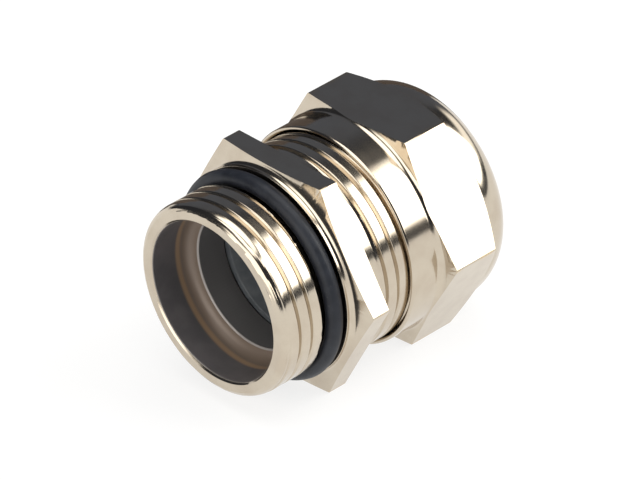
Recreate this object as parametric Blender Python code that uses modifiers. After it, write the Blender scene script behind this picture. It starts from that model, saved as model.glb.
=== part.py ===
"""Metal cable gland with a domed nut and a clamping cage, lying on its hexagon flats.

The gland's axis runs along +Y: the entry thread points to -Y and the domed nut to +Y.
Places along the axis are written s, measured from the sealing face of the body's hexagon,
positive towards the nut. The outlines are half sections: (radius, s) pairs.
"""
import math

import bmesh
import bpy
from mathutils import Matrix

MM = 0.001

# ---- Driving sizes --------------------------------------------------------------------------
PITCH = 1.5 * MM                    # both threads
THREAD_DEPTH = PITCH * 0.57         # the thread form follows its pitch
THREAD_CREST = PITCH / 6            # width of the flat on a thread's crest
THREAD_EMBED = PITCH * 0.12         # how deep a ridge starts below the root

ENTRY_THREAD_D = 20.0 * MM
ENTRY_LENGTH = 7.4 * MM             # sealing face to the end of the entry thread
ENTRY_WALL = 0.85 * MM              # metal under the entry thread's root
ENTRY_BORE_DEPTH = 4.8 * MM
RELIEF_LENGTH = 2.0 * MM            # plain neck that the O-ring sits on
O_RING_SECTION = 1.7 * MM
SEAT_LAND = 0.6 * MM                # sealing face left outside the O-ring
SEAT_RECESS = 0.05 * MM             # the face lies this much deeper behind the O-ring

HEX_LENGTH = 3.1 * MM               # the body's hexagon with its round land
LAND_HEIGHT = 0.7 * MM              # the land stands this far in front of the flats
STUB_LENGTH = 8.7 * MM              # threaded stub behind the hexagon
STUB_RELIEF = 0.9 * MM              # plain neck between the hexagon and the stub's thread
STUB_WALL = 0.95 * MM               # metal under the stub's thread root
SHOULDER_DEPTH = 0.8 * MM           # inner shoulder, measured behind the sealing face

CABLE_BORE_D = 11.2 * MM            # passage through the seal
LIP = 1.4 * MM                      # how much wider the shoulder's lip is than the passage
MOUTH = 1.6 * MM                    # how much wider the nut's mouth is than the passage
SEAL_WALL = 2.15 * MM
SEAL_FLARE = 0.9 * MM               # the seal's lead-in
SEAL_RECESS = 0.75 * MM             # the seal ends this far behind the finger tips

CAGE_WALL = 0.95 * MM
FINGER_COUNT = 14
FINGER_LENGTH = 7.1 * MM            # hinge line to tip
FINGER_SLOT = 0.3 * MM              # left between two tips when they are fully bent
FINGER_TILT_FULL = math.radians(12.2)   # from the loosest nut to the tightest

NUT_GAP = 4.9 * MM                  # body's hexagon to the nut's collar, as shown
TIGHT_GAP = 0.4 * MM                # what is left of that gap when the nut is tight
LOOSE_TRAVEL = 1.5 * MM             # from the place shown to nearly unscrewed
NUT_WALL = 0.545 * MM               # metal outside the nut's thread, at the flats
NUT_THREAD_LENGTH = 5.8 * MM
COLLAR_LENGTH = 3.7 * MM
COLLAR_STEP = 0.1 * MM              # the collar is this much below the flats
DOME_STEP = 0.05 * MM               # and the dome this much
DOME_CORNER = 3.68 * MM             # radius of the dome's rounded corner
DOME_STRAIGHT = 0.3 * MM            # plain length between that corner and the hexagon
DOME_WALL = 1.65 * MM               # end wall around the mouth
RING_LENGTH = 3.65 * MM             # slip ring

# ---- Clearances ------------------------------------------------------------------------------
THREAD_CLEARANCE = 0.15 * MM        # nut's root to the stub's crest
CREST_CLEARANCE = 0.2 * MM          # nut's crest to the stub's root
FLANK_CLEARANCE = 0.1 * MM          # along the axis, on each flank
SEAT_GAP = 0.15 * MM                # between pieces that rest on each other
CAVITY_GAP = 0.3 * MM               # nut's inner step to the stub's end, when tight
RING_CLEARANCE = 0.2 * MM           # slip ring in its seat
TIP_CLEARANCE = 0.15 * MM           # finger tips inside the slip ring's cone
TIP_END_GAP = 0.3 * MM              # finger tips to the slip ring's rear, when tight
HINGE_GAP = 0.1 * MM                # each side of a hinge line

# ---- Fineness --------------------------------------------------------------------------------
SEGMENTS = 36
TURNED_PHASE = math.tau / SEGMENTS * 0.5    # keeps hexagon corners between two facets
RIDGE_PHASE = math.tau / SEGMENTS * 0.2     # keeps thread sections off the facets' edges
FLANK_TAN = math.tan(math.radians(30.0))
FRONT_TAN = math.tan(math.radians(11.5))     # the hexagons' front faces are slightly conical
CHAMFER_TAN = math.tan(math.radians(30.0))   # chamfer between the nut's hexagon and its dome
EDGE = 0.25 * MM                    # small edge chamfers
OVER = 1.0 * MM                     # how far a cutter runs past what it cuts
WELD = 1e-7

# ---- Sizes that follow -----------------------------------------------------------------------
entry_crest_r = ENTRY_THREAD_D / 2
entry_root_r = entry_crest_r - THREAD_DEPTH
entry_bore_r = entry_root_r - ENTRY_WALL
relief_r = entry_root_r - 0.1 * MM
o_ring_inner_r = relief_r + SEAT_GAP
o_ring_outer_r = o_ring_inner_r + O_RING_SECTION
recess_r = o_ring_outer_r + 0.15 * MM

cable_bore_r = CABLE_BORE_D / 2
lip_r = cable_bore_r + LIP
mouth_r = cable_bore_r + MOUTH
seal_r = cable_bore_r + SEAL_WALL
cage_inner_r = seal_r + SEAT_GAP
cage_outer_r = cage_inner_r + CAGE_WALL
stub_bore_r = cage_outer_r + SEAT_GAP
stub_root_r = stub_bore_r + STUB_WALL
stub_crest_r = stub_root_r + THREAD_DEPTH

nut_root_r = stub_crest_r + THREAD_CLEARANCE
nut_crest_r = stub_root_r + CREST_CLEARANCE
nut_relief_r = nut_root_r + 0.05 * MM
across_flats = 2 * max(nut_root_r + NUT_WALL, o_ring_outer_r + SEAT_LAND)
flat_r = across_flats / 2
corner_r = flat_r / math.cos(math.radians(30.0))
blank_r = corner_r + 0.3 * MM       # outside every hexagon corner
collar_r = flat_r - COLLAR_STEP
dome_r = flat_r - DOME_STEP

tight_travel = NUT_GAP - TIGHT_GAP
full_travel = tight_travel + LOOSE_TRAVEL
stub_end_s = HEX_LENGTH + STUB_LENGTH
nut_front_s = HEX_LENGTH + NUT_GAP
collar_end_s = nut_front_s + COLLAR_LENGTH
nut_cavity_s = stub_end_s + tight_travel + CAVITY_GAP
ring_front_s = nut_cavity_s + SEAT_GAP
ring_end_s = ring_front_s + RING_LENGTH
ring_seat_s = ring_end_s + SEAT_GAP
nut_end_s = ring_seat_s + DOME_WALL
dome_start_s = nut_end_s - DOME_CORNER - DOME_STRAIGHT

tip_s = ring_end_s - tight_travel - TIP_END_GAP
hinge_s = tip_s - FINGER_LENGTH
cage_front_s = SHOULDER_DEPTH + SEAT_GAP
cage_end_s = hinge_s - 2 * HINGE_GAP
seal_end_s = tip_s - SEAL_RECESS
finger_mid_r = (cage_inner_r + cage_outer_r) / 2
finger_drop = FINGER_LENGTH * math.sin(FINGER_TILT_FULL)
finger_tilt_now = FINGER_TILT_FULL * LOOSE_TRAVEL / full_travel
bent_width = 2 * (cage_inner_r - finger_drop) * math.tan(math.pi / FINGER_COUNT) - FINGER_SLOT
finger_arc = 2 * math.asin(bent_width / 2 / cage_inner_r)

seat_y = -(nut_end_s - ENTRY_LENGTH) / 2        # sealing face, with the whole length centred
axis_height = flat_r                            # the gland lies on its flats


# ---- Helpers ---------------------------------------------------------------------------------
def clear_scene():
    for item in list(bpy.data.objects):
        bpy.data.objects.remove(item)


def make_collection(name):
    collection = bpy.data.collections.new(name)
    bpy.context.scene.collection.children.link(collection)
    return collection


def make_material(name, color, metallic, roughness):
    material = bpy.data.materials.new(name)
    material.use_nodes = True
    shader = material.node_tree.nodes["Principled BSDF"]
    shader.inputs["Base Color"].default_value = (*color, 1.0)
    shader.inputs["Metallic"].default_value = metallic
    shader.inputs["Roughness"].default_value = roughness
    return material


def add_object(name, mesh, collection):
    item = bpy.data.objects.new(name, mesh)
    collection.objects.link(item)
    item.parent = axis_empty
    return item


def turned(name, outline, collection, closed=True):
    """Turn a half section about the gland's axis; it runs down its outer side, from +s to -s."""
    edges = [(i, i + 1) for i in range(len(outline) - 1)]
    if closed:
        edges.append((len(outline) - 1, 0))
    mesh = bpy.data.meshes.new(name)
    mesh.from_pydata([(r, s, 0.0) for r, s in outline], edges, [])
    mesh.transform(Matrix.Rotation(TURNED_PHASE, 4, "Y"))
    item = add_object(name, mesh, collection)
    screw = item.modifiers.new("turn", "SCREW")
    screw.axis = "Y"
    screw.angle = math.tau
    screw.steps = SEGMENTS
    screw.render_steps = SEGMENTS
    screw.use_merge_vertices = True
    screw.merge_threshold = WELD
    return item


def cutter(item):
    item.hide_render = True
    item.display_type = "WIRE"
    return item


def boolean(item, other, operation):
    modifier = item.modifiers.new(operation.lower() + "_" + other.name, "BOOLEAN")
    modifier.operation = operation
    modifier.solver = "EXACT"
    modifier.object = other


def swept(name, section, angle, steps, rise, collection):
    """Sweep a flat section of (radius, s) corners about the axis, rising along it as it turns."""
    work = bmesh.new()
    corners = [work.verts.new((r, s, 0.0)) for r, s in section]
    face = work.faces.new(corners)
    bmesh.ops.spin(
        work,
        geom=[face] + list(face.edges) + corners,
        cent=(0, 0, 0),
        axis=(0, 1, 0),
        dvec=(0, rise / steps, 0),
        angle=angle,
        steps=steps,
    )
    bmesh.ops.recalc_face_normals(work, faces=work.faces)
    mesh = bpy.data.meshes.new(name)
    work.to_mesh(mesh)
    work.free()
    return add_object(name, mesh, collection)


def thread_ridge(name, root_r, crest_r, crest_width, first_s, last_s, taper=0.0):
    """A right-hand helical ridge; its ends sink into the root over a taper, in turns.

    All ridges lie on one helix: the crest crosses the +X side at whole pitches from s = 0.
    """
    base_r = root_r - THREAD_EMBED
    crest = crest_width / 2
    base = crest + (crest_r - base_r) * FLANK_TAN
    section = [(base_r, -base), (base_r, base), (crest_r, crest), (crest_r, -crest)]
    first_step = math.floor(first_s / PITCH * SEGMENTS)
    steps = math.ceil(last_s / PITCH * SEGMENTS) - first_step
    step_angle = math.tau / SEGMENTS
    rise = PITCH / SEGMENTS
    ridge = swept(name, section, step_angle * steps, steps, rise * steps, cutters)
    for corner in ridge.data.vertices:
        step = corner.index // len(section)
        turns_left = min(step, steps - step) / SEGMENTS
        r = math.hypot(corner.co.x, corner.co.z)
        if r > base_r + WELD and turns_left < taper:
            height = 0.05 + 0.95 * turns_left / taper
            shrink = (base_r + (r - base_r) * height) / r
            corner.co.x *= shrink
            corner.co.z *= shrink
    start_angle = first_step * step_angle + RIDGE_PHASE
    start_s = start_angle / math.tau * PITCH
    placed = Matrix.Translation((0, start_s, 0)) @ Matrix.Rotation(start_angle, 4, "Y")
    ridge.data.transform(placed)
    return cutter(ridge)


def hexagon(name, from_s, to_s):
    """A hexagonal bar along the axis, one flat on top and one below."""
    work = bmesh.new()
    turn = Matrix.Rotation(math.radians(90.0), 4, "X") @ Matrix.Rotation(math.radians(30.0), 4, "Z")
    middle = Matrix.Translation((0, (from_s + to_s) / 2, 0))
    bmesh.ops.create_cone(
        work,
        cap_ends=True,
        segments=6,
        radius1=corner_r,
        radius2=corner_r,
        depth=to_s - from_s,
        matrix=middle @ turn,
    )
    mesh = bpy.data.meshes.new(name)
    work.to_mesh(mesh)
    work.free()
    return cutter(add_object(name, mesh, cutters))


def smooth(item, material):
    item.data.materials.append(material)
    item.data.shade_smooth()


# ---- Scene -----------------------------------------------------------------------------------
clear_scene()
parts = make_collection("cable_gland")
cutters = make_collection("cutters")
body_additions = make_collection("body_additions")

axis_empty = bpy.data.objects.new("gland_axis", None)
parts.objects.link(axis_empty)
axis_empty.location = (0.0, seat_y, axis_height)

plated_brass = make_material("nickel_plated_brass", (0.72, 0.68, 0.60), 1.0, 0.16)
black_rubber = make_material("black_rubber", (0.02, 0.022, 0.027), 0.0, 0.45)
cage_plastic = make_material("cage_polyamide", (0.11, 0.115, 0.12), 0.0, 0.5)
ring_plastic = make_material("ring_polyamide", (0.50, 0.50, 0.47), 0.0, 0.45)


# ---- Body ------------------------------------------------------------------------------------
def front_run(radius):
    """How far a hexagon's slightly conical front face has run back at a radius."""
    return (radius - collar_r) * FRONT_TAN


def make_body():
    blank = [
        (0.0, stub_end_s),
        (stub_root_r - 0.2 * MM, stub_end_s),
        (stub_root_r, stub_end_s - 0.2 * MM),
        (stub_root_r, HEX_LENGTH + STUB_RELIEF),
        (stub_root_r - 0.05 * MM, HEX_LENGTH + STUB_RELIEF - 0.05 * MM),
        (stub_root_r - 0.05 * MM, HEX_LENGTH / 2),
        (relief_r, HEX_LENGTH / 2),
        (relief_r, -RELIEF_LENGTH + 0.1 * MM),
        (entry_root_r, -RELIEF_LENGTH),
        (entry_root_r, -ENTRY_LENGTH + 0.15 * MM),
        (entry_root_r - 0.15 * MM, -ENTRY_LENGTH),
        (0.0, -ENTRY_LENGTH),
    ]
    body = turned("gland_body", blank, parts, closed=False)

    bar = hexagon("body_bar", -OVER, HEX_LENGTH)
    chamfer = [
        (0.0, HEX_LENGTH + OVER),
        (blank_r, HEX_LENGTH + OVER),
        (blank_r, LAND_HEIGHT + front_run(blank_r)),
        (collar_r, LAND_HEIGHT),
        (collar_r, 0.0),
        (recess_r, 0.0),
        (recess_r, SEAT_RECESS),
        (0.0, SEAT_RECESS),
    ]
    boolean(bar, cutter(turned("body_chamfer", chamfer, cutters, closed=False)), "INTERSECT")

    half_base = THREAD_CREST / 2 + THREAD_DEPTH * FLANK_TAN + 0.1 * MM
    entry = thread_ridge(
        "entry_thread",
        entry_root_r,
        entry_crest_r,
        THREAD_CREST,
        -ENTRY_LENGTH + half_base,
        -RELIEF_LENGTH - half_base / 2,
        taper=0.25,
    )
    stub = thread_ridge(
        "stub_thread",
        stub_root_r,
        stub_crest_r,
        THREAD_CREST,
        HEX_LENGTH + STUB_RELIEF + half_base / 2,
        stub_end_s - half_base,
        taper=0.25,
    )
    for item in (bar, entry, stub):
        cutters.objects.unlink(item)
        body_additions.objects.link(item)
    join = body.modifiers.new("join_additions", "BOOLEAN")
    join.operation = "UNION"
    join.solver = "EXACT"
    join.operand_type = "COLLECTION"
    join.collection = body_additions

    entry_step_s = -ENTRY_LENGTH + ENTRY_BORE_DEPTH
    bore = [
        (0.0, stub_end_s + OVER),
        (stub_bore_r + EDGE + OVER, stub_end_s + OVER),
        (stub_bore_r, stub_end_s - EDGE),
        (stub_bore_r, SHOULDER_DEPTH),
        (lip_r, SHOULDER_DEPTH),
        (lip_r, entry_step_s + EDGE),
        (lip_r + EDGE, entry_step_s),
        (entry_bore_r, entry_step_s),
        (entry_bore_r, -ENTRY_LENGTH + EDGE),
        (entry_bore_r + EDGE + OVER, -ENTRY_LENGTH - OVER),
        (0.0, -ENTRY_LENGTH - OVER),
    ]
    boolean(body, cutter(turned("body_bore", bore, cutters, closed=False)), "DIFFERENCE")
    smooth(body, plated_brass)


# ---- Seals -----------------------------------------------------------------------------------
def make_o_ring():
    radius = O_RING_SECTION / 2
    middle_r = o_ring_inner_r + radius
    middle_s = -SEAT_GAP - radius
    sides = 10
    outline = []
    for i in range(sides):
        angle = math.tau * (0.5 - i) / sides
        outline.append((middle_r + radius * math.cos(angle), middle_s + radius * math.sin(angle)))
    smooth(turned("o_ring", outline, parts), black_rubber)


def seal_cone_r(s):
    """Outer radius of the seal's tip: it clears the fingers when they are fully bent."""
    return seal_r - (s - hinge_s) * math.tan(FINGER_TILT_FULL + math.radians(0.6))


def make_seal():
    outline = [
        (cable_bore_r + EDGE / 2, seal_end_s),
        (seal_cone_r(seal_end_s) - EDGE / 2, seal_end_s),
        (seal_cone_r(seal_end_s - EDGE), seal_end_s - EDGE),
        (seal_r, hinge_s),
        (seal_r, cage_front_s),
        (cable_bore_r + SEAL_FLARE, cage_front_s),
        (cable_bore_r, cage_front_s + 2 * SEAL_FLARE),
        (cable_bore_r, seal_end_s - EDGE),
    ]
    smooth(turned("seal_insert", outline, parts), black_rubber)


# ---- Clamping cage ---------------------------------------------------------------------------
def make_cage_ring():
    outline = [
        (cage_inner_r, cage_end_s),
        (cage_outer_r, cage_end_s),
        (cage_outer_r, cage_front_s + EDGE),
        (cage_outer_r - EDGE, cage_front_s),
        (cage_inner_r, cage_front_s),
    ]
    smooth(turned("cage_ring", outline, parts), cage_plastic)


def make_fingers():
    """Each finger starts just behind its hinge line, with its own origin on that line."""
    inner = cage_inner_r - finger_mid_r
    outer = cage_outer_r - finger_mid_r
    neck = 0.2 * MM
    root = HINGE_GAP
    tip = FINGER_LENGTH
    section = [
        (inner + neck, root),
        (outer - neck, root),
        (outer, root + neck),
        (outer, tip - 2 * neck),
        (outer - neck, tip),
        (inner + neck, tip),
        (inner, tip - neck),
        (inner, root + neck),
    ]
    section = [(finger_mid_r + r, s) for r, s in section]
    for k in range(FINGER_COUNT):
        name = "clamp_finger_%02d" % (k + 1)
        finger = swept(name, section, finger_arc, 4, 0.0, parts)
        half_turn = Matrix.Rotation(-finger_arc / 2, 4, "Y")
        finger.data.transform(Matrix.Translation((-finger_mid_r, 0, 0)) @ half_turn)
        around = math.tau * k / FINGER_COUNT
        hinge = Matrix.Translation(
            (finger_mid_r * math.cos(around), hinge_s, finger_mid_r * math.sin(around))
        )
        facing = Matrix.Rotation(-around, 4, "Y")
        lean = Matrix.Rotation(finger_tilt_now, 4, "Z")
        finger.matrix_basis = hinge @ facing @ lean
        smooth(finger, cage_plastic)


# ---- Nut and slip ring -----------------------------------------------------------------------
def make_slip_ring():
    """Its cone follows the finger tips, which bend in evenly as the ring comes over them."""
    outer_r = nut_crest_r - RING_CLEARANCE
    slope = finger_drop / full_travel
    cone_start_s = tip_s - LOOSE_TRAVEL
    front_r = cage_outer_r + TIP_CLEARANCE - (ring_front_s - cone_start_s) * slope
    rear_r = cage_outer_r + TIP_CLEARANCE - (ring_end_s - cone_start_s) * slope
    outline = [
        (rear_r, ring_end_s),
        (outer_r - EDGE, ring_end_s),
        (outer_r, ring_end_s - EDGE),
        (outer_r, ring_front_s + EDGE),
        (outer_r - EDGE, ring_front_s),
        (front_r, ring_front_s),
    ]
    smooth(turned("slip_ring", outline, parts), ring_plastic)


def dome_corner():
    """The rounded corner of the dome, from the end face to its largest radius."""
    middle_r = dome_r - DOME_CORNER
    middle_s = nut_end_s - DOME_CORNER
    steps = 8
    points = []
    for i in range(steps + 1):
        angle = math.radians(90.0) * (1 - i / steps)
        r = middle_r + DOME_CORNER * math.cos(angle)
        s = middle_s + DOME_CORNER * math.sin(angle)
        points.append((r, s))
    return points


def make_nut():
    outline = [(0.0, nut_end_s)]
    outline += dome_corner()
    outline += [
        (dome_r, dome_start_s),
        (blank_r, dome_start_s - (blank_r - dome_r) * CHAMFER_TAN),
        (blank_r, collar_end_s + front_run(blank_r)),
        (collar_r, collar_end_s),
        (collar_r, nut_front_s + EDGE),
        (collar_r - EDGE, nut_front_s),
        (0.0, nut_front_s),
    ]
    nut = turned("dome_nut", outline, parts, closed=False)
    boolean(nut, hexagon("nut_bar", nut_front_s - OVER, nut_end_s + OVER), "INTERSECT")

    thread_end_s = nut_front_s + NUT_THREAD_LENGTH
    cavity = [
        (0.0, nut_end_s + OVER),
        (mouth_r + EDGE + OVER, nut_end_s + OVER),
        (mouth_r, nut_end_s - EDGE),
        (mouth_r, ring_seat_s),
        (nut_crest_r, ring_seat_s),
        (nut_crest_r, nut_cavity_s),
        (nut_relief_r, nut_cavity_s),
        (nut_relief_r, thread_end_s),
        (nut_crest_r, thread_end_s - (nut_relief_r - nut_crest_r)),
        (nut_crest_r, nut_front_s + EDGE),
        (nut_crest_r + EDGE + OVER, nut_front_s - OVER),
        (0.0, nut_front_s - OVER),
    ]
    boolean(nut, cutter(turned("nut_cavity", cavity, cutters, closed=False)), "DIFFERENCE")

    groove_crest = THREAD_CREST + 2 * (FLANK_CLEARANCE - THREAD_CLEARANCE * FLANK_TAN)
    groove = thread_ridge(
        "nut_groove",
        nut_crest_r,
        nut_root_r,
        groove_crest,
        nut_front_s - PITCH,
        thread_end_s + PITCH / 2,
    )
    boolean(nut, groove, "DIFFERENCE")
    smooth(nut, plated_brass)


make_body()
make_o_ring()
make_seal()
make_cage_ring()
make_fingers()
make_slip_ring()
make_nut()
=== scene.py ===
# %% [markdown]
# # A cable gland, from threaded entry to domed nut
# The gland holds a cable where it enters an enclosure. Its body screws into the wall, an O-ring
# seals it there, and the domed nut behind squeezes a cage of fingers and a rubber seal onto the
# cable. The moving solids are loaded first. They give every place and every motion, and the
# finer pieces made below are put around them.

# %% Load the moving solids
import math

import bmesh
import bpy
from mathutils import Matrix, Vector


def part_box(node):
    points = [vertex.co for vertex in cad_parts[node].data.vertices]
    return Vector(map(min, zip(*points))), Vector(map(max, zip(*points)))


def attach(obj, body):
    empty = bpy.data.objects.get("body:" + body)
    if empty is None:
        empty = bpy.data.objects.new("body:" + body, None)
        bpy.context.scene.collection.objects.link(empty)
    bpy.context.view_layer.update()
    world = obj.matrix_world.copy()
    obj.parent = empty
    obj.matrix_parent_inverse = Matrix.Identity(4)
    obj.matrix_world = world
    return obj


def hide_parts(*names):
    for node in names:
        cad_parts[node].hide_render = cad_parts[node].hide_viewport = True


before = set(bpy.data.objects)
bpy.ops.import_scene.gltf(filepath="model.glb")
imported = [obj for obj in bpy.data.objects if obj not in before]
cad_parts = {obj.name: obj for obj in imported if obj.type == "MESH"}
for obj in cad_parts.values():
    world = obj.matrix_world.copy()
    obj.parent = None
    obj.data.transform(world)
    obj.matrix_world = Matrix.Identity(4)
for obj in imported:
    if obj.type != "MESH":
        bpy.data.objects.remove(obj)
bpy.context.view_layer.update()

# %% [markdown]
# ## One straight axis
# Nearly everything on a gland is turned on a lathe, so each piece is drawn as a half section:
# pairs of a radius and a distance along the axis. The distance is measured from the sealing
# face, where the hexagon meets the enclosure wall, and grows towards the nut. Pieces are made
# around the world's own Y axis and then moved to the place that the loaded solids give.

# %% The axis, taken from the loaded solids
MM = 0.001
nut_low, nut_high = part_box("dome_nut")
body_low, body_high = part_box("gland_body")
AXIS_Z = (body_low.z + body_high.z) / 2
ENTRY_LENGTH = 7.4
SEAT_Y = body_low.y + ENTRY_LENGTH * MM
FLAT_R = (body_high.z - body_low.z) / 2 / MM
CORNER_R = FLAT_R / math.cos(math.radians(30))
NUT_END = (nut_high.y - SEAT_Y) / MM
NUT_FRONT = (nut_low.y - SEAT_Y) / MM
print("across flats %.2f mm, nut ends %.2f mm behind the sealing face" % (2 * FLAT_R, NUT_END))

# %% [markdown]
# ## Working as by hand
# An operator acts on everything that is selected, so each step starts with nothing selected.
# A small set of helpers does what a person would do with the mouse: add a first shape, go into
# edit mode, come back, apply a modifier, and smooth the result.

# %% Selecting, and going in and out of edit mode
STEPS = 144                 # facets around the axis


def only(item):
    """Make this the one selected and active object."""
    if bpy.context.mode != "OBJECT":
        bpy.ops.object.mode_set(mode="OBJECT")
    bpy.ops.object.select_all(action="DESELECT")
    item.select_set(True)
    bpy.context.view_layer.objects.active = item
    return item


def edit(item, select="SELECT"):
    only(item)
    bpy.ops.object.mode_set(mode="EDIT")
    bpy.ops.mesh.select_mode(type="VERT")
    bpy.ops.mesh.select_all(action=select)


def leave_edit():
    bpy.ops.object.mode_set(mode="OBJECT")


print("turned pieces have", STEPS, "facets, one each %.1f degrees" % (360 / STEPS))


# %% Modifiers, and cleaning up after them
MERGE_WITHIN = 0.0005 * MM


def apply_modifier(item, kind, **settings):
    only(item)
    modifier = item.modifiers.new(kind.lower(), kind)
    for key, value in settings.items():
        setattr(modifier, key, value)
    bpy.ops.object.modifier_apply(modifier=modifier.name)
    return item


def boolean(item, other, operation):
    """Join, cut or intersect with another closed shape, which is used up."""
    apply_modifier(item, "BOOLEAN", operation=operation, solver="EXACT", object=other)
    bpy.data.objects.remove(other)
    return item


def clean(item):
    """Merge doubled corners and point every face outwards."""
    edit(item)
    bpy.ops.mesh.remove_doubles(threshold=MERGE_WITHIN)
    bpy.ops.mesh.normals_make_consistent(inside=False)
    leave_edit()
    return item


print("corners closer than %.4f mm are merged" % (MERGE_WITHIN / MM))


# %% Finishing a piece
def finish_piece(item, degrees=32):
    """Smooth the curved faces, keep real edges crisp, and move the piece to its place."""
    only(item)
    bpy.ops.object.shade_smooth_by_angle(angle=math.radians(degrees), keep_sharp_edges=False)
    apply_modifier(item, "WEIGHTED_NORMAL", keep_sharp=True, weight=60)
    item.location = (0, SEAT_Y, AXIS_Z)
    bpy.ops.object.transform_apply(location=True, rotation=True, scale=True)
    print(item.name, len(item.data.polygons), "faces")
    return item


print("finished pieces stand %.2f mm up, on the axis" % (AXIS_Z / MM))

# %% [markdown]
# ## Rounding the corners of a section
# Turned metal has no perfectly sharp corner: the tool leaves a small radius, and plating softens
# it further. Those radii catch the light as thin bright lines, so they are drawn into the
# section. Each corner is given as radius, distance and the rounding wanted there.

# %% Round the corners of an outline
def rounded(corners, closed=True, arc_steps=4):
    """Corners are (radius, s) or (radius, s, rounding), in mm; returns plain points."""
    count = len(corners)
    points = []
    for i, corner in enumerate(corners):
        here = Vector(corner[:2])
        rounding = corner[2] if len(corner) > 2 else 0.0
        if rounding <= 0 or (not closed and i in (0, count - 1)):
            points.append(tuple(here))
            continue
        before = Vector(corners[i - 1][:2]) - here
        after = Vector(corners[(i + 1) % count][:2]) - here
        half = before.angle(after) / 2
        back = min(rounding / math.tan(half), before.length * 0.49, after.length * 0.49)
        start, end = here + before.normalized() * back, here + after.normalized() * back
        for k in range(arc_steps + 1):
            t = k / arc_steps
            points.append(tuple(start.lerp(here, t).lerp(here.lerp(end, t), t)))
    return points


print("one rounded corner has", len(rounded([(0, 0), (1, 0, 0.2), (1, 1)], False)) - 2, "points")

# %% [markdown]
# Where a round land meets a face the tool leaves a hollow, wider than any edge radius. It is a
# curve that leaves one line at its start and joins the other at its end.

# %% A hollow between two lines of an outline
def hollow(start, corner, end, count=8):
    """Points of a concave curve that starts and ends along the lines to the corner."""
    start, corner, end = Vector(start), Vector(corner), Vector(end)
    points = []
    for k in range(count + 1):
        t = k / count
        points.append(tuple(start.lerp(corner, t).lerp(corner.lerp(end, t), t)))
    return points


print("a hollow has", len(hollow((0, 0), (1, 0), (1, 1))), "points")

# %% [markdown]
# ## Turning
# A tiny plane is cut down to a single corner, that corner is extruded from point to point along
# the section, and the line is spun round the axis. It is the lathe of a modelling program.

# %% Draw a line
def drawn_line(name, points, closed):
    """A line of edges through (radius, s) points, made by extruding one corner."""
    bpy.ops.object.select_all(action="DESELECT")
    bpy.ops.mesh.primitive_plane_add(size=MM, location=(0, 0, 0))
    item = bpy.context.object
    item.name = name
    edit(item, "DESELECT")
    mesh = bmesh.from_edit_mesh(item.data)
    mesh.verts.ensure_lookup_table()
    for corner in mesh.verts[1:]:
        corner.select_set(True)
    bmesh.update_edit_mesh(item.data)
    bpy.ops.mesh.delete(type="VERT")
    mesh = bmesh.from_edit_mesh(item.data)
    mesh.verts.ensure_lookup_table()
    mesh.verts[0].co = (points[0][0] * MM, points[0][1] * MM, 0)
    mesh.verts[0].select_set(True)
    bmesh.update_edit_mesh(item.data)
    for here, there in zip(points, points[1:]):
        step = ((there[0] - here[0]) * MM, (there[1] - here[1]) * MM, 0)
        bpy.ops.mesh.extrude_region_move(TRANSFORM_OT_translate={"value": step})
    if closed:
        bpy.ops.mesh.select_all(action="DESELECT")
        mesh = bmesh.from_edit_mesh(item.data)
        mesh.verts.ensure_lookup_table()
        mesh.verts[0].select_set(True)
        mesh.verts[len(mesh.verts) - 1].select_set(True)
        bmesh.update_edit_mesh(item.data)
        bpy.ops.mesh.edge_face_add()
    return item


print("lines are drawn in the XY plane, with X as the radius")


# %% Spin the line
def turned(name, corners, closed=True, steps=STEPS, arc_steps=4):
    """Spin a half section round the axis. An open one starts and ends on the axis."""
    item = drawn_line(name, rounded(corners, closed, arc_steps), closed)
    bpy.ops.mesh.select_all(action="SELECT")
    bpy.ops.mesh.spin(steps=steps, angle=math.tau, center=(0, 0, 0), axis=(0, 1, 0))
    leave_edit()
    return clean(item)


print("a full turn takes", STEPS, "steps of the spin")

# %% [markdown]
# ## Threads
# Both threads are metric with a pitch of 1.5 mm. One groove's section is drawn once, exactly a
# pitch long, and the Screw modifier winds it so that each turn meets the next. The crests are
# wide and softly rounded, because polished and plated threads lose their sharp form, so what
# shows is a narrow dark line between broad bright bands. A real thread starts and runs out
# gradually, so near its ends the helix is held between two smooth outlines: no point may lie
# outside the outer one or inside the inner one. Two cuts square off the ends.

# %% Thread form, and an outline to hold it
PITCH = 1.5
FLANK_TAN = math.tan(math.radians(30))
CREST_ROUNDING, ROOT_ROUNDING = 0.12, 0.04
LONGEST_EDGE = 0.1          # the section is divided no coarser than this


def along(outline, s):
    """The radius of a piecewise straight outline of (s, radius) points at s."""
    if s <= outline[0][0]:
        return outline[0][1]
    for (s0, r0), (s1, r1) in zip(outline, outline[1:]):
        if s <= s1:
            return r0 + (r1 - r0) * (s - s0) / (s1 - s0)
    return outline[-1][1]


print("pitch %.1f mm, flanks at %.0f degrees" % (PITCH, math.degrees(math.atan(FLANK_TAN))))

# %% [markdown]
# The rod is joined to a hexagon and cut by a bore later on. Those cuts fail where two shapes
# share a corner or an edge, so the rod's corners are kept on a grid along the axis that lies
# between the other shapes' rings, and the rod is turned by less than half a facet.

# %% Wind a threaded rod
THREAD_GRID = PITCH / STEPS
GRID_OFFSET = 0.3           # part of a grid step
THREAD_TURN = math.radians(0.9)


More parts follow.
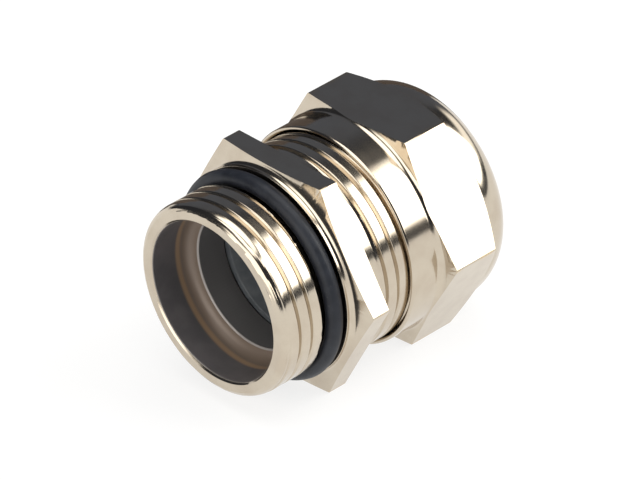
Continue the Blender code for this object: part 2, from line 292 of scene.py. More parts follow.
def threaded_rod(name, root_r, crest_r, crest_width, start, end, outer, inner):
    """A solid rod with a right-hand thread, from start to end, held between two outlines."""
    rise = (crest_r - root_r) * FLANK_TAN
    half_root = (PITCH - crest_width) / 2 - rise
    profile = rounded(
        [
            (root_r, 0.0),
            (root_r, half_root, ROOT_ROUNDING),
            (crest_r, half_root + rise, CREST_ROUNDING),
            (crest_r, half_root + rise + crest_width, CREST_ROUNDING),
            (root_r, PITCH - half_root, ROOT_ROUNDING),
            (root_r, PITCH),
        ],
        closed=False,
    )
    fine = [profile[0]]
    for here, there in zip(profile, profile[1:]):
        here, there = Vector(here), Vector(there)
        pieces = max(1, math.ceil((there - here).length / LONGEST_EDGE))
        fine += [tuple(here.lerp(there, (k + 1) / pieces)) for k in range(pieces)]
    fine = [(r, round(s / THREAD_GRID) * THREAD_GRID) for r, s in fine]
    item = drawn_line(name, fine, closed=False)
    leave_edit()
    turns = math.ceil((end - start) / PITCH) + 2
    apply_modifier(
        item, "SCREW", axis="Y", angle=math.tau, screw_offset=PITCH * MM,
        iterations=turns, steps=STEPS, render_steps=STEPS,
    )
    first = math.floor(start / PITCH - 0.5) * PITCH - PITCH / 2
    item.location = (0, (first + GRID_OFFSET * THREAD_GRID) * MM, 0)
    item.rotation_euler = (0, THREAD_TURN, 0)
    bpy.ops.object.transform_apply(location=True, rotation=True, scale=False)
    for corner in item.data.vertices:
        r, s = math.hypot(corner.co.x, corner.co.z), corner.co.y / MM
        wanted = max(min(r / MM, along(outer, s)), along(inner, s)) * MM
        corner.co.x *= wanted / r
        corner.co.z *= wanted / r
    clean(item)
    for cut_s, beyond in ((start, False), (end, True)):
        edit(item)
        bpy.ops.mesh.bisect(
            plane_co=(0, cut_s * MM, 0), plane_no=(0, 1, 0), use_fill=True,
            clear_inner=not beyond, clear_outer=beyond, threshold=1e-7,
        )
        leave_edit()
    return clean(item)


print("rows of a thread lie %.4f mm apart along the axis" % THREAD_GRID)

# %% [markdown]
# ## Hexagons
# Hexagon bar is drawn through a die, so its six corners are slightly rounded. The bar is a
# six-sided cylinder turned so that one flat lies on top, and its long edges are bevelled. The
# lathe then turns the faces: here the bar is intersected with the turned shape, and the new
# edges get a very small bevel, as a tumbled and plated part has.

# %% Hexagon bar
BAR_BEVEL = 0.14            # on the long edges of the drawn bar
LATHE_BEVEL = 0.09          # on the edges that the lathe leaves


def hexagon_bar(name, start, end):
    bpy.ops.object.select_all(action="DESELECT")
    bpy.ops.mesh.primitive_cylinder_add(
        vertices=6, radius=CORNER_R * MM, depth=(end - start) * MM,
        location=(0, (start + end) / 2 * MM, 0), rotation=(math.radians(90), 0, 0),
    )
    item = bpy.context.object
    item.name = name
    bpy.ops.object.transform_apply(location=True, rotation=True, scale=True)
    corners = [c for c in item.data.vertices if abs(c.co.x) < 0.1 * MM]
    if corners:
        item.data.transform(Matrix.Rotation(math.radians(30), 4, "Y"))
    edit(item, "DESELECT")
    bpy.ops.mesh.select_mode(type="EDGE")
    mesh = bmesh.from_edit_mesh(item.data)
    for edge in mesh.edges:
        line = edge.verts[0].co - edge.verts[1].co
        edge.select_set(abs(line.y) > line.length * 0.9)
    bmesh.update_edit_mesh(item.data)
    bpy.ops.mesh.bevel(offset=BAR_BEVEL * MM, segments=3, affect="EDGES")
    leave_edit()
    return item


print("bar: %.2f mm over flats, %.2f mm over corners" % (2 * FLAT_R, 2 * CORNER_R))


# %% A turned hexagon
def turned_hexagon(name, corners, start, end):
    """The part of the bar from start to end that also lies inside the turned shape."""
    item = turned(name, corners, closed=False)
    boolean(item, hexagon_bar(name + "_bar", start, end), "INTERSECT")
    clean(item)
    apply_modifier(
        item, "BEVEL", width=LATHE_BEVEL * MM, segments=2, limit_method="ANGLE",
        angle_limit=math.radians(28), use_clamp_overlap=True,
    )
    return item


print("edge bevels: %.2f mm drawn, %.2f mm turned" % (BAR_BEVEL, LATHE_BEVEL))

# %% [markdown]
# ## Shader maths
# A finish is easier to read as arithmetic than as a web of nodes. The small class below wraps a
# socket, and each sum or product written in Python adds the Math node for it.

# %% Arithmetic on sockets
class Value:
    """A number that varies over the surface."""

    def __init__(self, graph, socket):
        self.graph, self.socket = graph, socket

    def maths(self, operation, *others):
        inputs = [self] + list(others)
        return self.graph.node("ShaderNodeMath", {"operation": operation}, inputs)

    def __add__(self, other):
        return self.maths("ADD", other)

    def __sub__(self, other):
        return self.maths("SUBTRACT", other)

    def __rsub__(self, other):
        return (self * -1.0) + other

    def __mul__(self, other):
        return self.maths("MULTIPLY", other)

    def __truediv__(self, other):
        return self.maths("DIVIDE", other)

    __radd__ = __add__
    __rmul__ = __mul__

    def step(self, low, high):
        """0 below low and 1 above high, with a smooth change between them."""
        settings = {"interpolation_type": "SMOOTHSTEP"}
        return self.graph.node("ShaderNodeMapRange", settings, {0: self, 1: low, 2: high})


print("sockets can now be added, subtracted, multiplied and divided")


# %% Nodes, colours and patterns
class Graph:
    """The node tree of a material or of the world."""

    def __init__(self, tree):
        self.tree = tree

    def node(self, kind, settings=None, inputs=(), output=0):
        made = self.tree.nodes.new(kind)
        for key, value in (settings or {}).items():
            setattr(made, key, value)
        pairs = inputs.items() if isinstance(inputs, dict) else enumerate(inputs)
        for key, value in pairs:
            if isinstance(value, Value):
                self.tree.links.new(value.socket, made.inputs[key])
            else:
                made.inputs[key].default_value = value
        return Value(self, made.outputs[output])

    def mix(self, factor, one, other):
        """A colour between two colours."""
        settings = {"data_type": "RGBA", "clamp_factor": True}
        return self.node("ShaderNodeMix", settings, {0: factor, 6: one, 7: other}, output=2)

    def noise(self, place, scale, detail=3.0, roughness=0.55):
        inputs = {"Vector": place, "Scale": scale, "Detail": detail, "Roughness": roughness}
        return self.node("ShaderNodeTexNoise", {}, inputs)

    def point(self, x, y, z):
        return self.node("ShaderNodeCombineXYZ", {}, [x, y, z])

    def bump(self, height, strength, distance):
        """A surface normal that follows a height, with the distance in mm."""
        inputs = {"Strength": strength, "Distance": distance * MM, "Height": height}
        return self.node("ShaderNodeBump", {}, inputs)


print("a graph makes:", ", ".join(k for k in vars(Graph) if not k.startswith("_")))


# %% A new material, measured along the gland
CLOUD_STEP = 0.35, 0.7      # where a soft cloud of colour begins and ends


def new_material(name, **constants):
    """The position comes in mm: x across, s along the axis from the seat, z up from the axis."""
    material = bpy.data.materials.new(name)
    material.use_nodes = True
    shader = material.node_tree.nodes["Principled BSDF"]
    for key, value in constants.items():
        shader.inputs[key.replace("_", " ")].default_value = value
    graph = Graph(material.node_tree)
    place = graph.node("ShaderNodeTexCoord", {}, {}, output="Object")
    parts = material.node_tree.nodes.new("ShaderNodeSeparateXYZ")
    material.node_tree.links.new(place.socket, parts.inputs[0])
    x, y, z = (Value(graph, parts.outputs[k]) for k in range(3))
    x, s, z = x / MM, (y - SEAT_Y) / MM, (z - AXIS_Z) / MM
    return material, graph, shader, x, s, z


def feed(graph, shader, name, value):
    graph.tree.links.new(value.socket, shader.inputs[name])


print("finishes measure from the seat at y = %.2f mm" % (SEAT_Y / MM))

# %% [markdown]
# ## The steps of the bore
# The wide entry bore narrows at a lip, with a rounded hollow between them. The finish is duller
# in there and its colour is painted shade, so the sizes of those steps are written down before
# both the finish and the bore.

# %% Sizes of the bore
BORE_R, LIP_R = 8.295, 7.0
HOLLOW_S = -4.1             # where the hollow leaves the wall of the bore
print("bore %.2f mm, lip %.2f mm wide" % (2 * BORE_R, 2 * LIP_R))

# %% [markdown]
# ## Nickel over brass
# The metal pieces are brass, turned from bar and then plated with bright nickel. Thin nickel
# over brass is a warm, champagne-like metal. The lathe leaves very fine rings round the axis, on
# the end faces and on the cylinders alike, while the flats keep the drawing lines of the bar,
# which run along it. Where the plating is rubbed, on the hexagon's corners, the brass warms it.
# Inside the bore the metal is dull, and its colour is painted shade: dark grey, with a painted
# brown reflection in the hollow before the lip, a painted orange reflection where the hollow
# leaves the wall, and a painted highlight on the lip's edge.

# %% The plated finish
def plated_brass():
    material, graph, shader, x, s, z = new_material("nickel_plated_brass", IOR=1.6)
    r = (x * x + z * z).maths("SQRT")
    c30, s30 = math.cos(math.radians(30)), math.sin(math.radians(30))
    first, second = (x * c30 + z * s30).maths("ABSOLUTE"), (x * c30 - z * s30).maths("ABSOLUTE")
    across = z.maths("ABSOLUTE").maths("MAXIMUM", first).maths("MAXIMUM", second)
    flat = across.step(FLAT_R - 0.03, FLAT_R - 0.01)

    rings = graph.noise(graph.point(r * 9.0, s * 9.0, 0.0), 1.0, detail=4.0)
    drawn = graph.noise(graph.point(x * 6.0, s * 0.12, z * 6.0), 1.0, detail=4.0)
    marks = rings + (drawn - rings) * flat
    cloud = graph.noise(graph.point(x, s, z), 0.35, detail=4.0)
    speck = graph.noise(graph.point(x, s, z), 5.0, detail=2.0)
    worn = r.step(CORNER_R - 0.35, CORNER_R - 0.05) * cloud.step(0.4, 0.65)

    nickel = graph.mix(cloud.step(*CLOUD_STEP), (0.59, 0.52, 0.42, 1), (0.545, 0.47, 0.375, 1))
    rubbed = graph.mix(worn * 0.45, nickel, (0.72, 0.54, 0.31, 1))

    # Painted shade: nearer the axis than the bore's wall the colour is a dark grey instead of the
    # plated metal.
    inside = 1 - r.step(BORE_R + 0.005, BORE_R + 0.125)
    deep = 1 - r.step(LIP_R + 0.02, LIP_R + 0.12)
    # Painted reflection: the hollow before the lip is tinted brown over the painted shade.
    in_hollow = s.step(HOLLOW_S - 0.3, HOLLOW_S + 0.8)
    bore_shade = graph.mix(cloud.step(*CLOUD_STEP), (0.135, 0.125, 0.13, 1), (0.105, 0.10, 0.105, 1))
    shade_and_hollow_reflection = graph.mix(in_hollow, bore_shade, (0.20, 0.15, 0.115, 1))
    # Painted reflection: an orange band where the hollow leaves the bore's wall.
    ridge = s.step(HOLLOW_S - 0.4, HOLLOW_S - 0.05) * (1 - s.step(HOLLOW_S + 0.1, HOLLOW_S + 0.5))
    # Painted highlight: a pale band on the lip's edge.
    lip = r.step(LIP_R - 0.02, LIP_R + 0.04) * (1 - r.step(LIP_R + 0.12, LIP_R + 0.2))
    ridge_reflection = graph.mix(ridge * 0.7, shade_and_hollow_reflection, (0.46, 0.30, 0.17, 1))
    lip_highlighted = graph.mix(lip, ridge_reflection, (0.40, 0.37, 0.35, 1))
    bored = graph.mix(deep * (1 - lip), lip_highlighted, (0.10, 0.108, 0.118, 1))

    feed(graph, shader, "Base Color", graph.mix(inside, rubbed, bored))
    feed(graph, shader, "Metallic", 1 - inside * 0.8)
    outside = 0.09 + cloud * 0.05 + marks * 0.05 + speck.step(0.6, 0.8) * 0.05
    feed(graph, shader, "Roughness", outside + inside * 0.3 + deep * 0.15)
    feed(graph, shader, "Normal", graph.bump(marks * 0.5 + speck * 0.06, 0.12, 0.02))
    return material


PLATED = plated_brass()
print("finish:", PLATED.name, len(PLATED.node_tree.nodes), "nodes")

# %% [markdown]
# ## Rubber
# The O-ring and the seal are nitrile rubber: satin rather than glossy, with a very fine grain
# from the mould and a trace of dust. The O-ring is nearly black with a cool sheen. The seal,
# deep in the bore, is a lighter slate grey. One function makes both from their two colours.

# %% The rubber finish
def rubber(name, dark, light):
    material, graph, shader, x, s, z = new_material(
        name, Metallic=0.0, IOR=1.5, Specular_IOR_Level=0.32
    )
    grain = graph.noise(graph.point(x, s, z), 14.0, detail=3.0)
    cloud = graph.noise(graph.point(x, s, z), 0.7, detail=3.0)
    dust = graph.noise(graph.point(x, s, z), 3.5, detail=4.0).step(0.66, 0.74)
    base = graph.mix(cloud.step(*CLOUD_STEP), dark, light)
    feed(graph, shader, "Base Color", graph.mix(dust * 0.25, base, (0.16, 0.16, 0.155, 1)))
    feed(graph, shader, "Roughness", 0.38 + cloud * 0.14 + dust * 0.1)
    feed(graph, shader, "Normal", graph.bump(grain, 0.35, 0.02))
    return material


RUBBER = rubber("nitrile_rubber", (0.010, 0.012, 0.018, 1), (0.018, 0.021, 0.029, 1))
SEAL_RUBBER = rubber("seal_rubber", (0.075, 0.082, 0.09, 1), (0.10, 0.108, 0.116, 1))
print("finishes:", RUBBER.name, SEAL_RUBBER.name)

# %% [markdown]
# ## Moulded polyamide
# The clamping cage and the slip ring are injection moulded. The surface has the fine, matt spark
# texture of the mould, and the colour varies a little with the wall behind it.

# %% The two moulded plastics
def polyamide(name, dark, light, roughness):
    material, graph, shader, x, s, z = new_material(name, Metallic=0.0, IOR=1.53)
    cloud = graph.noise(graph.point(x, s, z), 0.6, detail=3.0)
    spark = graph.noise(graph.point(x, s, z), 9.0, detail=2.0)
    feed(graph, shader, "Base Color", graph.mix(cloud.step(0.3, 0.75), dark, light))
    feed(graph, shader, "Roughness", roughness + spark * 0.15)
    feed(graph, shader, "Normal", graph.bump(spark, 0.3, 0.03))
    return material


CAGE_PLASTIC = polyamide("cage_polyamide", (0.085, 0.09, 0.096, 1), (0.13, 0.135, 0.14, 1), 0.42)
RING_PLASTIC = polyamide("ring_polyamide", (0.46, 0.45, 0.42, 1), (0.56, 0.55, 0.51, 1), 0.38)
print("finishes:", CAGE_PLASTIC.name, RING_PLASTIC.name)

# %% [markdown]
# ## Where each piece belongs
# The loaded solids carry the motion. A finer piece gets its finish, is attached to the body that
# it moves with, and the plain solids that it stands for are hidden.

# %% Giving a piece its finish and its body
def place_piece(item, material, body, slot, *nodes):
    """Give the piece its finish and its moving body, and hide the solids that it stands for."""
    item.data.materials.clear()
    item.data.materials.append(material)
    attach(item, body)
    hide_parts(*nodes)
    return item


# %% [markdown]
# ## The body
# One turned piece of brass: the entry thread with its smooth leading rim, a neck for the
# O-ring, a short hexagon, and the stub that the nut screws onto. The hexagon's front is a very
# flat cone, and a hollow joins it to the narrow round land that the O-ring seals against.
# Between the hexagon and the stub's thread stands a short plain cylinder. Inside, a wide bore
# opens to the enclosure, a lip narrows it, and behind the lip sits the seal. The outside is
# joined from its parts, and the bore is cut last, as it is drilled.

# %% Body: the two threads
ENTRY_ROOT, ENTRY_CREST = 9.62, 10.0
STUB_ROOT, STUB_CREST = 10.43, 10.805
CREST_WIDTH = 1.03
NECK_R, NECK_S = 9.045, -1.9            # where the neck for the O-ring begins
PLAIN_R, PLAIN_END = 10.62, 4.65        # the plain cylinder behind the hexagon
STUB_END = 11.8

rim = [(-ENTRY_LENGTH, 9.34), (-7.36, 9.42), (-7.25, 9.64)]
entry_outer = rim + [(-7.05, 9.82), (-6.75, 9.94), (-6.4, ENTRY_CREST), (-2.5, ENTRY_CREST),
                     (-1.98, 9.1), (NECK_S, NECK_R)]
entry_inner = rim + [(-7.05, 9.8), (-6.75, 9.9), (-6.35, 9.9), (-6.0, 9.4), (-2.0, 9.0),
                     (NECK_S, NECK_R)]
body = threaded_rod("body_plated", ENTRY_ROOT, ENTRY_CREST, CREST_WIDTH, -ENTRY_LENGTH, 1.0,
                    entry_outer, entry_inner)
stub_outer = [(PLAIN_END, PLAIN_R), (PLAIN_END + 0.3, STUB_CREST), (11.0, STUB_CREST),
              (11.45, 10.55), (STUB_END, 10.1)]
stub_inner = [(PLAIN_END, PLAIN_R), (PLAIN_END + 0.5, 10.0), (11.2, 9.96), (11.35, 9.98),
              (STUB_END, 9.98)]
stub = threaded_rod("body_stub", STUB_ROOT, STUB_CREST, CREST_WIDTH, 2.0, STUB_END,
                    stub_outer, stub_inner)
print("threads", len(body.data.polygons), len(stub.data.polygons))

# %% The slightly conical front of a hexagon
COLLAR_R = FLAT_R - 0.1
FRONT_TAN = math.tan(math.radians(11.5))


def front_s(radius):
    """How far the front of a hexagon has run back at a radius."""
    return (radius - COLLAR_R) * FRONT_TAN


print("a front runs back %.2f mm up to the corners" % front_s(CORNER_R))

# %% Body: hexagon, and the three joined
HEX_LENGTH, LAND_R, LAND_HEIGHT = 3.1, 10.8, 0.7
blank = CORNER_R + 0.3      # the turned shape reaches past the bar
hexagon = turned_hexagon("body_hexagon", [
    (0, HEX_LENGTH), (blank, HEX_LENGTH), (blank, LAND_HEIGHT + front_s(blank)),
    *hollow((LAND_R + 0.5, LAND_HEIGHT + front_s(LAND_R + 0.5)),
            (LAND_R, LAND_HEIGHT + front_s(LAND_R)), (LAND_R, 0.15)),
    (LAND_R, 0.0, 0.04), (LAND_R - 0.12, 0.0), (LAND_R - 0.15, 0.05), (0, 0.05),
], -1.0, HEX_LENGTH + 1.0)
for part in (hexagon, stub):
    boolean(body, part, "UNION")
print("joined outside", len(body.data.polygons))

# %% Body: bore
STUB_BORE_R, SHOULDER_S = 9.0, 0.8      # room for the seal and the cage
bore = turned("body_bore", [
    (0, STUB_END + 1), (STUB_BORE_R + 1.3, STUB_END + 1), (STUB_BORE_R, STUB_END - 0.3, 0.05),
    (STUB_BORE_R, SHOULDER_S, 0.1), (LIP_R, SHOULDER_S, 0.1), (LIP_R, -2.45, 0.1),
    *hollow((LIP_R + 0.15, -2.6), (BORE_R, -2.7), (BORE_R, HOLLOW_S), 12),
    (BORE_R, -7.15, 0.15), (9.5, -8.4), (0, -8.4),
], closed=False)
boolean(body, bore, "DIFFERENCE")
clean(body)
finish_piece(body)
place_piece(body, PLATED, "body", "plated_brass", "gland_body")

# %% [markdown]
# ## The domed nut
# A hexagon nut with a plain round collar in front and a domed end behind, where the cable
# enters. Inside, a plain counterbore leads to the same 1.5 mm thread. Then come a relief where
# the thread runs out, a seat for the slip ring, and the mouth. The groove of the thread goes on
# into the relief, or the stub's last crests would touch its end when the nut is tight.

# %% Nut: outside
DOME_R = FLAT_R - 0.05
DOME_CORNER = 3.68          # radius of the dome's rounding
DOME_STEPS = 24
COLLAR_LENGTH, COLLAR_HOLLOW = 3.7, 0.6
CHAMFER_TAN = math.tan(math.radians(30))
dome_start = NUT_END - DOME_CORNER - 0.3
collar_end = NUT_FRONT + COLLAR_LENGTH
dome = []
for k in range(DOME_STEPS + 1):
    angle = math.radians(90 * (1 - k / DOME_STEPS))
    dome.append((DOME_R - DOME_CORNER + DOME_CORNER * math.cos(angle),
                 NUT_END - DOME_CORNER + DOME_CORNER * math.sin(angle)))
nut = turned_hexagon("nut_plated", [(0, NUT_END)] + dome + [
    (DOME_R, dome_start, 0.15), (blank, dome_start - (blank - DOME_R) * CHAMFER_TAN),
    (blank, collar_end + front_s(blank)),
    *hollow((COLLAR_R + COLLAR_HOLLOW, collar_end + front_s(COLLAR_R + COLLAR_HOLLOW)),
            (COLLAR_R, collar_end), (COLLAR_R, collar_end - COLLAR_HOLLOW)),
    (COLLAR_R, NUT_FRONT, 0.3), (0, NUT_FRONT),
], NUT_FRONT - 1.0, NUT_END + 1.0)
print("nut outside", len(nut.data.polygons), "faces")

# %% Nut: cavity
MOUTH_R, RING_SEAT_R, RELIEF_R = 7.2, 10.15, 11.005
NUT_CREST, COUNTERBORE_R = 10.61, 10.98
RING_SEAT, CAVITY_END = NUT_END - 1.65, 16.6
cavity = turned("nut_cavity", [
    (0, NUT_END + 1), (MOUTH_R + 1.25, NUT_END + 1), (MOUTH_R, NUT_END - 0.25, 0.3),
    (MOUTH_R, RING_SEAT, 0.1), (RING_SEAT_R, RING_SEAT, 0.3), (RING_SEAT_R, CAVITY_END, 0.1),
    (RELIEF_R, CAVITY_END, 0.15), (RELIEF_R, NUT_FRONT + 5.8), (NUT_CREST, NUT_FRONT + 5.405),
    (NUT_CREST, NUT_FRONT + 2.17), (COUNTERBORE_R, NUT_FRONT + 1.8),
    (COUNTERBORE_R, NUT_FRONT + 0.15), (12.13, NUT_FRONT - 1), (0, NUT_FRONT - 1),
], closed=False)
boolean(nut, cavity, "DIFFERENCE")
print("nut with its cavity", len(nut.data.polygons), "faces")

# %% Nut: thread
NUT_ROOT, GROOVE_WIDTH = 10.955, 1.04
groove = threaded_rod("nut_groove", NUT_CREST - 0.03, NUT_ROOT, GROOVE_WIDTH, NUT_FRONT + 0.8,
                      NUT_FRONT + 5.78, [(0.0, NUT_ROOT)], [(0.0, 9.0)])
boolean(nut, groove, "DIFFERENCE")
clean(nut)
finish_piece(nut)
place_piece(nut, PLATED, "nut", "plated_brass", "dome_nut")

# %% [markdown]
# ## The O-ring
# A moulded ring of 1.7 mm section on the neck, right in front of the hexagon. Its mould closes
# on the middle of the ring, which leaves a hair-thin line of flash round the outside.

# %% O-ring
O_RING_R, O_RING_MID, O_RING_S = 0.85, 10.045, -1.0
FLASH_HEIGHT, FLASH_HALF_WIDTH = 0.025, 0.03
bpy.ops.object.select_all(action="DESELECT")
bpy.ops.mesh.primitive_torus_add(
    major_radius=O_RING_MID * MM, minor_radius=O_RING_R * MM, major_segments=STEPS,
    minor_segments=36, location=(0, O_RING_S * MM, 0), rotation=(math.radians(90), 0, 0),
)
o_ring = bpy.context.object
o_ring.name = "o_ring_rubber"
bpy.ops.object.transform_apply(location=True, rotation=True, scale=True)
for corner in o_ring.data.vertices:
    r, s = math.hypot(corner.co.x, corner.co.z) / MM, corner.co.y / MM - O_RING_S
    if r > O_RING_MID and abs(s) < FLASH_HALF_WIDTH:
        corner.co.x *= 1 + FLASH_HEIGHT / r
        corner.co.z *= 1 + FLASH_HEIGHT / r
finish_piece(o_ring, 60)
place_piece(o_ring, RUBBER, "body", "seal_rubber", "o_ring")

# %% [markdown]
# ## The seal insert
# A thick rubber sleeve that grips the cable. It flares where the cable's cores come out, and its
# bore has shallow grooves so that the rubber can give way as it is squeezed.

# %% Seal insert
SEAL_BORE, SEAL_OUT = 5.6, 7.75
GROOVE_COUNT, GROOVE_PITCH, GROOVE_FLOOR = 5, 1.9, SEAL_BORE + 0.28
grooves = []
for k in range(GROOVE_COUNT):
    s = 4.2 + k * GROOVE_PITCH
    grooves += [(SEAL_BORE, s, 0.1), (GROOVE_FLOOR, s + 0.3, 0.1),
                (GROOVE_FLOOR, s + 0.6, 0.1), (SEAL_BORE, s + 0.9, 0.1)]
seal = turned("seal_rubber", [
    (SEAL_OUT, 8.5, 0.3), (SEAL_OUT, 0.95, 0.25), (SEAL_BORE + 0.9, 0.95, 0.2),
    (SEAL_BORE, 2.75, 0.4), *grooves, (SEAL_BORE, 14.85, 0.2), (6.3, 14.85, 0.2),
])
finish_piece(seal, 40)
place_piece(seal, SEAL_RUBBER, "body", "seal_rubber", "seal_insert")

# %% [markdown]
# ## The clamping cage
# A ring that carries fourteen fingers. They lean in a little already, and bend further as the
# nut pushes the slip ring over them. One finger is modelled and copied.

# %% Cage ring
CAGE_IN, CAGE_OUT = 7.9, 8.85
cage = turned("cage_ring_moulded", [
    (CAGE_IN, 8.3, 0.06), (CAGE_OUT, 8.3, 0.12), (CAGE_OUT, 1.05, 0.1),
    (CAGE_OUT - 0.15, 0.95, 0.05), (CAGE_IN, 0.95, 0.06),
])
finish_piece(cage, 40)
place_piece(cage, CAGE_PLASTIC, "body", "cage_plastic", "cage_ring")

# %% Fingers
HINGE_S, HINGE_R = 8.5, (CAGE_IN + CAGE_OUT) / 2
FINGER_COUNT, FINGER_LENGTH = 14, 7.1
FULL_BEND, FULL_TRAVEL, TRAVEL_SO_FAR = math.radians(12.2), 6.0, 1.5
FINGER_LEAN = FULL_BEND * TRAVEL_SO_FAR / FULL_TRAVEL
FINGER_ARC = math.radians(19.1)


def make_finger(number):
    corners = rounded([
        (CAGE_IN + 0.15, HINGE_S + 0.12, 0.08), (CAGE_OUT - 0.15, HINGE_S + 0.12, 0.08),
        (CAGE_OUT, HINGE_S + 0.4, 0.3), (CAGE_OUT, HINGE_S + FINGER_LENGTH - 0.5, 0.4),
        (CAGE_OUT - 0.25, HINGE_S + FINGER_LENGTH, 0.12),
        (CAGE_IN + 0.15, HINGE_S + FINGER_LENGTH, 0.1),
        (CAGE_IN, HINGE_S + FINGER_LENGTH - 0.3, 0.2), (CAGE_IN, HINGE_S + 0.4, 0.3),
    ])
    item = drawn_line("clamp_finger_%02d_moulded" % number, corners, closed=True)
    bpy.ops.mesh.select_all(action="SELECT")
    bpy.ops.mesh.edge_face_add()
    bpy.ops.mesh.spin(steps=10, angle=-FINGER_ARC, center=(0, 0, 0), axis=(0, 1, 0))
    leave_edit()
    clean(item)
    return item


print("finger arc %.1f degrees, lean %.2f degrees"
      % (math.degrees(FINGER_ARC), math.degrees(FINGER_LEAN)))

# %% [markdown]
# Each finger's hinge line is given as a radius and a distance along the axis. A finger is made
# straight, on the side that faces +X, leaned in about its hinge line, and then turned to its
# place round the ring. Each joint carries its finger, so the finger rides on that body.

# %% Fingers, placed
for number in range(1, FINGER_COUNT + 1):
    finger = make_finger(number)
    around = math.tau * (number - 1) / FINGER_COUNT
    centred = Matrix.Rotation(-FINGER_ARC / 2, 4, "Y")
    hinge = Matrix.Translation((HINGE_R * MM, HINGE_S * MM, 0))
    lean = hinge @ Matrix.Rotation(FINGER_LEAN, 4, "Z") @ hinge.inverted()
    finger.data.transform(Matrix.Rotation(-around, 4, "Y") @ lean @ centred)
    finish_piece(finger, 40)
    place_piece(finger, CAGE_PLASTIC, "finger_%02d" % number, "cage_plastic",
                "clamp_finger_%02d" % number)

# %% [markdown]
# ## The slip ring
# The nut would grind the finger tips as it turns. A plain ring of pale plastic sits in the nut's
# dome, stands still while the nut turns round it, and presses the tips inwards with its cone.

# %% Slip ring
slip_ring = turned("slip_ring_moulded", [
    (7.425, 20.4, 0.15), (9.7, 20.4), (9.95, 20.15, 0.1), (9.95, 17.0, 0.1), (9.7, 16.75),
    (8.34, 16.75, 0.25),
])
finish_piece(slip_ring, 40)
place_piece(slip_ring, RING_PLASTIC, "slip_ring", "ring_plastic", "slip_ring")

# %% [markdown]
# ## Floor
# The gland lies on its hexagon flats on a plain pale table. The table glows a little by itself,
# as a light table does, so the shadow under the piece stays faint.

# %% Floor
bpy.ops.object.select_all(action="DESELECT")
bpy.ops.mesh.primitive_plane_add(size=6.0, location=(0, 0, -0.02 * MM))
floor = bpy.context.object
floor.name = "floor"
table = bpy.data.materials.new("pale_table")
table.use_nodes = True
table_shader = table.node_tree.nodes["Principled BSDF"]
table_shader.inputs["Base Color"].default_value = (0.22, 0.22, 0.22, 1)
table_shader.inputs["Roughness"].default_value = 0.9
table_shader.inputs["Specular IOR Level"].default_value = 0.0
table_shader.inputs["Emission Color"].default_value = (1.0, 1.0, 1.0, 1)
table_shader.inputs["Emission Strength"].default_value = 0.80
floor.data.materials.append(table)
print("floor", floor.name, "%.2f mm below the flats" % (-floor.location.z / MM))

# %% [markdown]
# ## A dark card
# Bright metal on a white table loses its outline, so a dark card stands behind it on the left,
# close enough to be mirrored in the tops and the left sides. Only reflections see the card: it
# is no backdrop, and it throws no shadow.

# %% Dark card
CARD_BEARING, CARD_DISTANCE, CARD_HEIGHT = math.radians(-55), 40, 14
CARD_WIDTH, CARD_TALL = 52, 28
bpy.ops.object.select_all(action="DESELECT")
bpy.ops.mesh.primitive_plane_add(
    size=1.0, rotation=(math.radians(90), 0, -CARD_BEARING),
    location=(math.sin(CARD_BEARING) * CARD_DISTANCE * MM,
              math.cos(CARD_BEARING) * CARD_DISTANCE * MM, CARD_HEIGHT * MM),
)
card = bpy.context.object
card.name = "dark_card"
card.scale = (CARD_WIDTH * MM, CARD_TALL * MM, 1)
for kind in ("camera", "diffuse", "shadow", "transmission"):
    setattr(card, "visible_" + kind, False)
card_paper = bpy.data.materials.new("dark_paper")
card_paper.use_nodes = True
card_shader = card_paper.node_tree.nodes["Principled BSDF"]
card_shader.inputs["Base Color"].default_value = (0.10, 0.08, 0.07, 1)
card_shader.inputs["Roughness"].default_value = 0.9
card.data.materials.append(card_paper)
print("card", CARD_WIDTH, "x", CARD_TALL, "mm, behind on the left")

# %% [markdown]
# ## Studio light
# Polished metal shows the room more than itself. The room here is painted on the world sphere.
# It is dark and slightly blue, with a dim wall on the left. A wide white window stands to the
# back right, a weaker light straight behind, a broad light at the entry end, and the ceiling is
# bright. Directions are given as a bearing, clockwise from +Y, and a height above the horizon,
# both in degrees.

# %% The room
world = bpy.data.worlds.new("studio")
bpy.context.scene.world = world
world.use_nodes = True
room = Graph(world.node_tree)
direction = room.node("ShaderNodeTexCoord", {}, {}, output="Generated")
axes = world.node_tree.nodes.new("ShaderNodeSeparateXYZ")
world.node_tree.links.new(direction.socket, axes.inputs[0])
east, north, up = (Value(room, axes.outputs[k]) for k in range(3))
bearing = east.maths("ARCTAN2", north) * math.degrees(1)
height = up.maths("ARCSINE") * math.degrees(1)
print("room nodes so far:", len(world.node_tree.nodes))


# %% Lights in the room
def panel(centre, half_width, low, high, soft):
    """A soft-edged rectangle of light on the world sphere."""
    off = ((bearing - (centre - 180)).maths("FLOORED_MODULO", 360.0) - 180).maths("ABSOLUTE")
    wide = 1 - off.step(half_width - soft, half_width + soft)
    tall = height.step(low - soft, low + soft) * (1 - height.step(high - soft, high + soft))
    return wide * tall


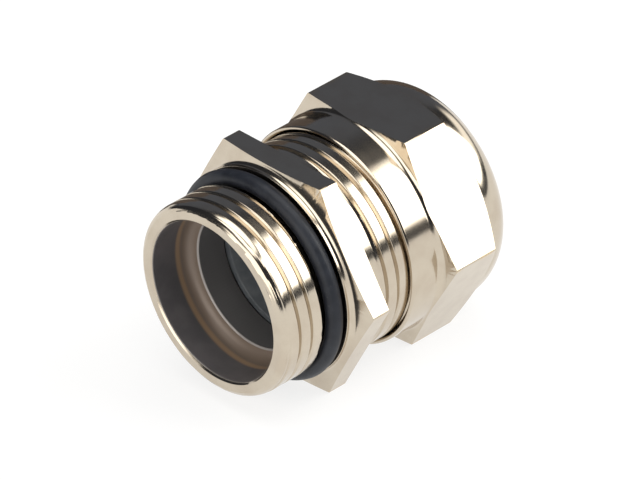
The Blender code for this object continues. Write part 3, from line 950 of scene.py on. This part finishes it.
window = panel(42, 30, 11, 53, 2.5)
behind = panel(-2, 15, 6, 27, 5)
front = panel(172, 32, 0, 42, 4)
ceiling = height.step(57, 64)
glow = window * 4.2 + behind * 1.6 + front * 2.4 + ceiling * 2.6
dim_wall = panel(-52, 34, 2, 48, 8)
wall = room.mix(dim_wall, (0.03, 0.033, 0.042, 1), (0.105, 0.118, 0.15, 1))
light = room.mix(glow.maths("MINIMUM", 1.0), wall, (1.0, 0.985, 0.95, 1))
background = world.node_tree.nodes["Background"]
world.node_tree.links.new(light.socket, background.inputs["Color"])
world.node_tree.links.new(glow.maths("MAXIMUM", 1.0).socket, background.inputs["Strength"])
print("room nodes:", len(world.node_tree.nodes))

# %% [markdown]
# ## Camera
# A long lens far away keeps the hexagons nearly parallel-sided. It looks down at the entry end
# from the front right, and is tilted very slightly.

# %% Camera
azimuth, elevation, roll = (math.radians(a) for a in (47.64, 33.52, -2.54))
distance, shift_x, shift_y = 568.63, -4.154, -2.483
forward = Vector((-math.sin(azimuth) * math.cos(elevation),
                  math.cos(azimuth) * math.cos(elevation), -math.sin(elevation)))
level = Vector((math.cos(azimuth), math.sin(azimuth), 0))
upward = level.cross(forward)
right = level * math.cos(roll) + upward * math.sin(roll)
top = upward * math.cos(roll) - level * math.sin(roll)
aim = Vector((0, SEAT_Y + 1.03 * MM, AXIS_Z))
bpy.ops.object.select_all(action="DESELECT")
bpy.ops.object.camera_add()
camera = bpy.context.object
camera.data.lens = 337.5
camera.data.sensor_width = 36.0
camera.data.clip_start, camera.data.clip_end = 0.05, 20.0
camera.matrix_world = Matrix((right, top, -forward)).transposed().to_4x4()
camera.location = aim - (right * shift_x + top * shift_y + forward * distance) * MM
bpy.context.scene.camera = camera
bpy.context.scene.view_settings.view_transform = "Standard"
print("camera: bearing %.1f, height %.1f degrees, lens %.1f mm"
      % (math.degrees(azimuth), math.degrees(elevation), camera.data.lens))

# %% [markdown]
